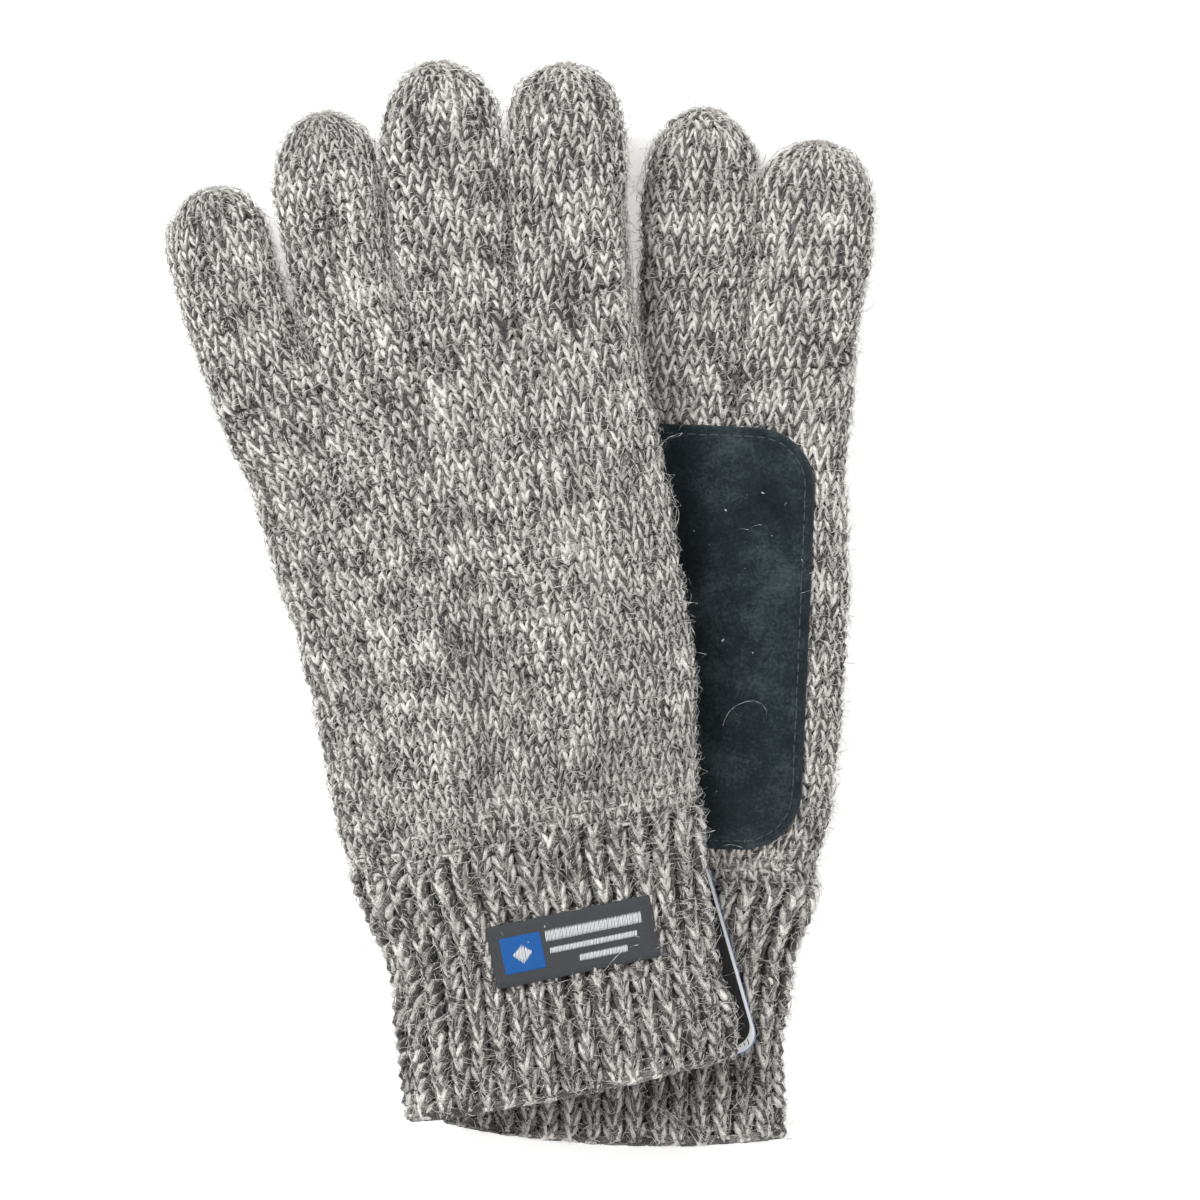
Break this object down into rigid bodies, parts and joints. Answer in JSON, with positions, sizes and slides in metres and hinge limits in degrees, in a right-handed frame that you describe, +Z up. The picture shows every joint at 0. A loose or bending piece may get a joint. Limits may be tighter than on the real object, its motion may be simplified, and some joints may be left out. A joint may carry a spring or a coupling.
{
  "type": "pair of knitted gloves",
  "caption": "Pair of lined wool gloves lying overlapped, with ribbed cuffs, suede palm patches, woven labels and a swing tag.",
  "frame": {"origin": "middle of the pair's footprint, on the surface it lies on", "axes": "+Y towards the fingertips, +X towards the thumb sides, +Z up away from the surface"},
  "size_m": [0.1742, 0.2716, 0.0528],
  "materials": {
    "knit": "marled wool in plain knit",
    "rib": "marled wool in one by one rib",
    "lining": "brushed fleece",
    "suede": "dark suede",
    "thread": "twisted sewing thread",
    "label": "damask woven label",
    "tag_black": "black coated card with a pale cut edge",
    "card_white": "white coated card",
    "nylon": "clear nylon"
  },
  "bodies": {
    "right_hand": {"right_hand_knit": "knit", "right_hand_lining": "lining", "right_palm_patch": "suede", "right_patch_stitching": "thread"},
    "right_cuff": {"right_cuff_rib": "rib", "right_label": "label", "right_label_stitching": "thread"},
    "right_little_stall": {"right_little_finger": "knit", "right_little_lining": "lining"},
    "right_ring_stall": {"right_ring_finger": "knit", "right_ring_lining": "lining"},
    "right_middle_stall": {"right_middle_finger": "knit", "right_middle_lining": "lining"},
    "right_index_stall": {"right_index_finger": "knit", "right_index_lining": "lining"},
    "right_thumb_stall": {"right_thumb": "knit", "right_thumb_lining": "lining"},
    "left_hand": {"left_hand_knit": "knit", "left_hand_lining": "lining", "left_palm_patch": "suede", "left_patch_stitching": "thread"},
    "left_cuff": {"left_cuff_rib": "rib", "left_label": "label", "left_label_stitching": "thread", "tag_pin": "nylon"},
    "left_little_stall": {"left_little_finger": "knit", "left_little_lining": "lining"},
    "left_ring_stall": {"left_ring_finger": "knit", "left_ring_lining": "lining"},
    "left_middle_stall": {"left_middle_finger": "knit", "left_middle_lining": "lining"},
    "left_index_stall": {"left_index_finger": "knit", "left_index_lining": "lining"},
    "left_thumb_stall": {"left_thumb": "knit", "left_thumb_lining": "lining"},
    "tags": {"swing_tag": "tag_black", "price_card": "card_white"}
  },
  "joints": [
    {"name": "left_glove_lift", "type": "slide", "parent": "right_hand", "child": "left_hand", "axis": [0, 0, 1], "range_m": [0, 0.06]},
    {"name": "right_little_fold", "type": "hinge", "parent": "right_hand", "child": "right_little_stall", "pos_m": [-0.01022, 0.05373, -0.0006], "axis": [0.9969, 0.0785, 0], "range_deg": [-60, 0]},
    {"name": "right_ring_fold", "type": "hinge", "parent": "right_hand", "child": "right_ring_stall", "pos_m": [0.0161, 0.05581, -0.0006], "axis": [0.9969, 0.0785, 0], "range_deg": [-60, 0]},
    {"name": "right_middle_fold", "type": "hinge", "parent": "right_hand", "child": "right_middle_stall", "pos_m": [0.04242, 0.05788, 0.0156], "axis": [0.9969, 0.0785, 0], "range_deg": [0, 75]},
    {"name": "right_index_fold", "type": "hinge", "parent": "right_hand", "child": "right_index_stall", "pos_m": [0.07004, 0.06005, 0.0156], "axis": [0.9969, 0.0785, 0], "range_deg": [0, 75]},
    {"name": "right_thumb_swing", "type": "hinge", "parent": "right_hand", "child": "right_thumb_stall", "pos_m": [0.06452, -0.02961, 0.006], "axis": [0, 0, 1], "range_deg": [-75, 0]},
    {"name": "left_little_fold", "type": "hinge", "parent": "left_hand", "child": "left_little_stall", "pos_m": [-0.0637, 0.0517, 0.01902], "axis": [0.9483, 0.3173, 0], "range_deg": [0, 75]},
    {"name": "left_ring_fold", "type": "hinge", "parent": "left_hand", "child": "left_ring_stall", "pos_m": [-0.03867, 0.06008, 0.03494], "axis": [0.9483, 0.3173, 0], "range_deg": [0, 75]},
    {"name": "left_middle_fold", "type": "hinge", "parent": "left_hand", "child": "left_middle_stall", "pos_m": [-0.01364, 0.06845, 0.0355], "axis": [0.9483, 0.3173, 0], "range_deg": [0, 75]},
    {"name": "left_index_fold", "type": "hinge", "parent": "left_hand", "child": "left_index_stall", "pos_m": [0.01264, 0.07724, 0.0355], "axis": [0.9483, 0.3173, 0], "range_deg": [0, 75]},
    {"name": "left_thumb_swing", "type": "hinge", "parent": "left_hand", "child": "left_thumb_stall", "pos_m": [0.02897, -0.01109, 0.02601], "axis": [0, 0, 1], "range_deg": [-35, 0]},
    {"name": "left_cuff_fold", "type": "hinge", "parent": "left_hand", "child": "left_cuff", "pos_m": [0.00207, -0.05942, 0.03838], "axis": [-0.9799, -0.1994, 0], "range_deg": [0, 35]},
    {"name": "right_cuff_bend", "type": "hinge", "parent": "right_hand", "child": "right_cuff", "pos_m": [0.07867, -0.07227, 0.0069], "axis": [0, 0, 1], "range_deg": [0, 10]},
    {"name": "tag_swing", "type": "hinge", "parent": "left_cuff", "child": "tags", "pos_m": [0.02629, -0.07215, 0.0147], "axis": [0, 0, 1], "range_deg": [-8, 0]}
  ],
  "couplings": [
    {"joint": "left_thumb_swing", "follows": "left_glove_lift", "rad_per_m": -10.15}
  ]
}
